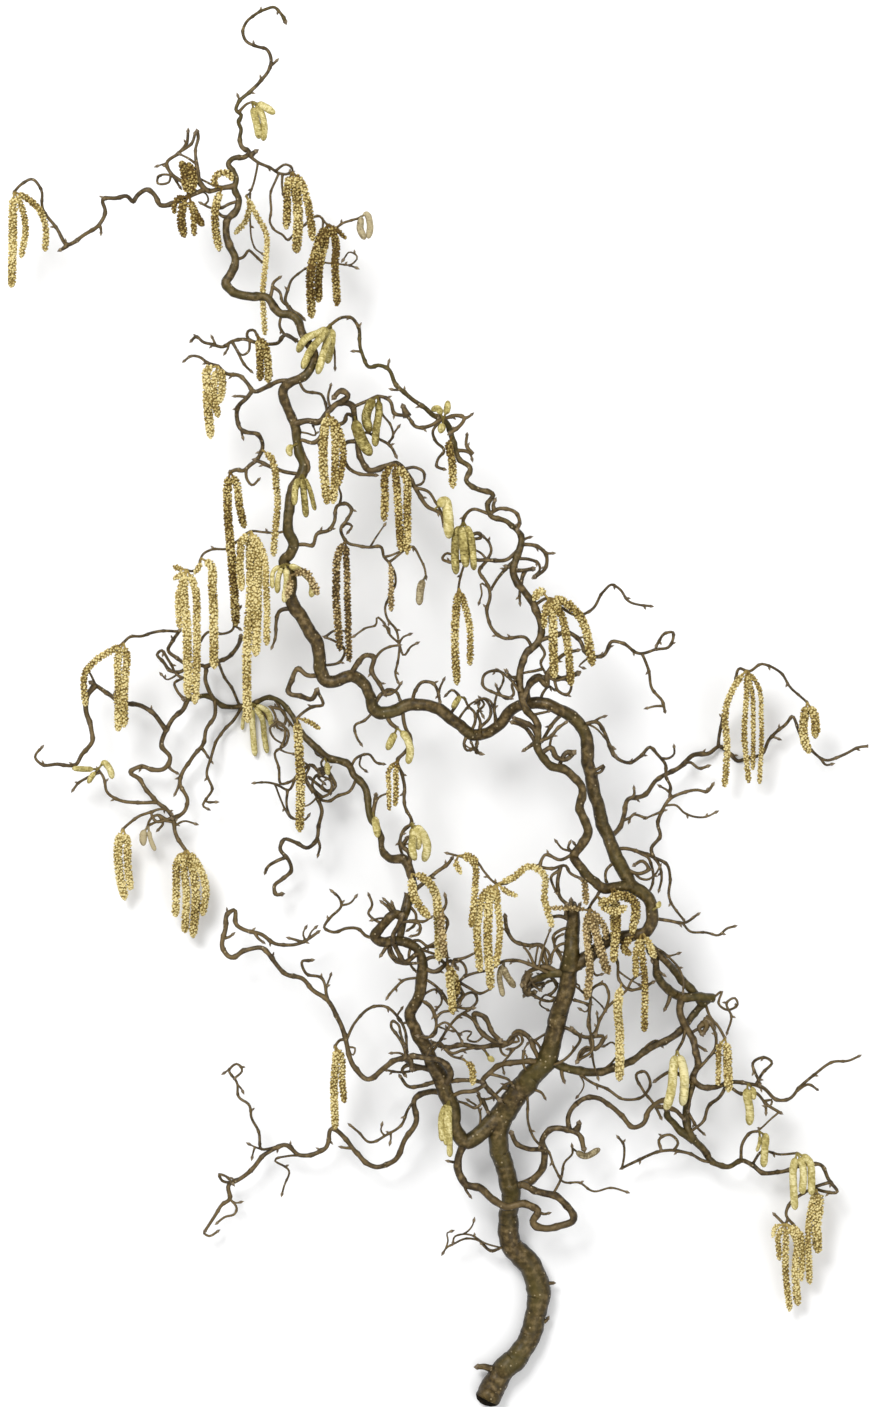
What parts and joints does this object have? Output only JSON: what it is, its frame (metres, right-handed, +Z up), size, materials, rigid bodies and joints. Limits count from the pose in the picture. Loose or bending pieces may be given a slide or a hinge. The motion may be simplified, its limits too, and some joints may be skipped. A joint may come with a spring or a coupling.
{
  "type": "corkscrew hazel branch with catkins",
  "caption": "Cut branch of corkscrew hazel lying on a table: a winding trunk with spiralling twigs and bunches of hanging catkins, open, closed and dry.",
  "frame": {"origin": "middle of the branch's outline in plan, on the table that it lies on", "axes": "+Z up from the table, +Y along the branch from its cut end towards its tip, +X to the right"},
  "size_m": [0.6817, 1.1115, 0.1243],
  "materials": {
    "bark": "matte",
    "catkin_open": "matte",
    "catkin_closed": "satin",
    "catkin_brown": "matte"
  },
  "bodies": {
    "root": {"branch": "bark", "b_low_stem": "catkin_closed", "b_left_limb": "catkin_open", "b_stem_fork": "catkin_open", "b_web": "catkin_open", "b_arch_left": "catkin_open", "b_arch": "catkin_open", "b_left_web": "catkin_brown", "b_brown": "catkin_brown", "b_elbow": "catkin_open", "b_elbow_low": "catkin_open", "b_long": "catkin_open", "b_right_pair": "catkin_closed", "b_right_loop": "catkin_open", "b_right_mid": "catkin_closed", "b_low_small": "catkin_closed", "b_low_right": "catkin_open", "b_low_end": "catkin_open", "b_low_fork": "catkin_closed", "b_reach": "catkin_open", "b_reach_tip": "catkin_open", "b_mid": "catkin_closed", "b_mid_small": "catkin_open", "b_mid_low": "catkin_closed", "b_left_mid": "catkin_open", "b_foot": "catkin_closed", "b_left_curl": "catkin_closed", "b_low_left": "catkin_open", "b_left_head": "catkin_open", "b_left_arch": "catkin_open", "b_long_left": "catkin_open", "b_curtain": "catkin_open", "b_thin": "catkin_open", "b_elbow_small": "catkin_closed", "b_trunk_trio": "catkin_closed", "b_brown_pair": "catkin_brown", "b_curl_trio": "catkin_open", "b_brown_thin": "catkin_brown", "b_pale": "catkin_closed", "b_green": "catkin_closed", "b_neck": "catkin_open", "b_hanging": "catkin_open", "b_shoulder": "catkin_open", "b_top": "catkin_closed", "b_top_right": "catkin_open", "b_top_far": "catkin_open", "b_top_dry": "catkin_brown", "b_top_mid": "catkin_open", "b_top_trunk": "catkin_open", "b_far_tip": "catkin_open", "b_top_left": "catkin_open", "b_ring": "catkin_open", "b_upper_left": "catkin_open", "b_five": "catkin_closed", "b_curl_green": "catkin_closed", "b_curl_fat": "catkin_closed", "b_curtain_mid": "catkin_open", "b_pale_head": "catkin_closed", "b_far_left": "catkin_open", "b_left_tall": "catkin_open"}
  },
  "joints": []
}
